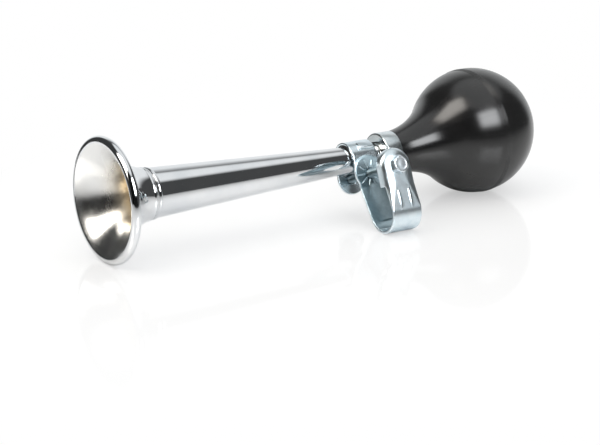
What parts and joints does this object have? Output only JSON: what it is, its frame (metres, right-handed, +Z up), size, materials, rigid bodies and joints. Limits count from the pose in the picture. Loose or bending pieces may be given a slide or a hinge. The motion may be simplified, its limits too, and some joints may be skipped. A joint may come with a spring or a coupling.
{
  "type": "bulb horn",
  "caption": "Straight chromed bulb horn with a flared bell, a reed inside its black rubber squeeze bulb and a swivelling strap bracket for a handlebar.",
  "frame": {"origin": "on the table under the middle of the bounding box, with the horn lying as pictured", "axes": "+X along the horn from the bell's mouth to the bulb, +Y away from the viewer, +Z up"},
  "size_m": [0.2231, 0.0712, 0.0571],
  "materials": {
    "chrome_plate": "bright plated sheet",
    "nickel_tail": "plated, turned",
    "reed_brass": "plain brass",
    "black_rubber": "glossy moulded rubber",
    "zinc_plate": "blue-white zinc plate",
    "liner_vinyl": "soft vinyl strip"
  },
  "bodies": {
    "horn": {"bell_flare": "chrome_plate", "horn_tube": "chrome_plate", "tail_nipple": "nickel_tail", "reed_body": "reed_brass", "reed_ring": "reed_brass", "bulb_ferrule": "zinc_plate"},
    "reed": {"reed_tongue": "reed_brass"},
    "bulb": {"bulb": "black_rubber"},
    "clip": {"tube_clip": "zinc_plate", "clip_liner": "liner_vinyl"},
    "strap": {"handlebar_strap": "zinc_plate"},
    "bolt": {"clamp_bolt": "zinc_plate"},
    "nut": {"clamp_nut": "zinc_plate", "nut_washer": "zinc_plate"}
  },
  "joints": [
    {"name": "bulb_squeeze", "type": "slide", "parent": "horn", "child": "bulb", "axis": [-0.9967, -0.0452, -0.0668], "range_m": [0, 0.018], "stiffness_N_per_m": 900, "deforming": ["bulb"]},
    {"name": "reed_flex", "type": "hinge", "parent": "horn", "child": "reed", "pos_m": [0.04161, 0.00495, 0.02731], "axis": [0, 1, 0], "range_deg": [-2.5, 1.4], "stiffness_Nm_per_rad": 0.002},
    {"name": "clip_roll", "type": "hinge", "parent": "horn", "child": "clip", "pos_m": [0.01729, 0.00495, 0.02569], "axis": [0.9999, 0, -0.0142], "continuous": true},
    {"name": "clamp_swivel", "type": "hinge", "parent": "clip", "child": "strap", "pos_m": [0.01718, 0.00184, 0.01818], "axis": [-0.0054, 0.9239, -0.3826], "continuous": true},
    {"name": "bolt_turn", "type": "hinge", "parent": "clip", "child": "bolt", "pos_m": [0.01718, 0.00184, 0.01818], "axis": [0.0054, -0.9239, 0.3826], "range_deg": [0, 1080]},
    {"name": "nut_draw", "type": "slide", "parent": "clip", "child": "nut", "axis": [-0.0054, 0.9239, -0.3826], "range_m": [0, 0.0021]}
  ],
  "couplings": [
    {"joint": "bolt_turn", "follows": "nut_draw", "rad_per_m": 8976}
  ]
}
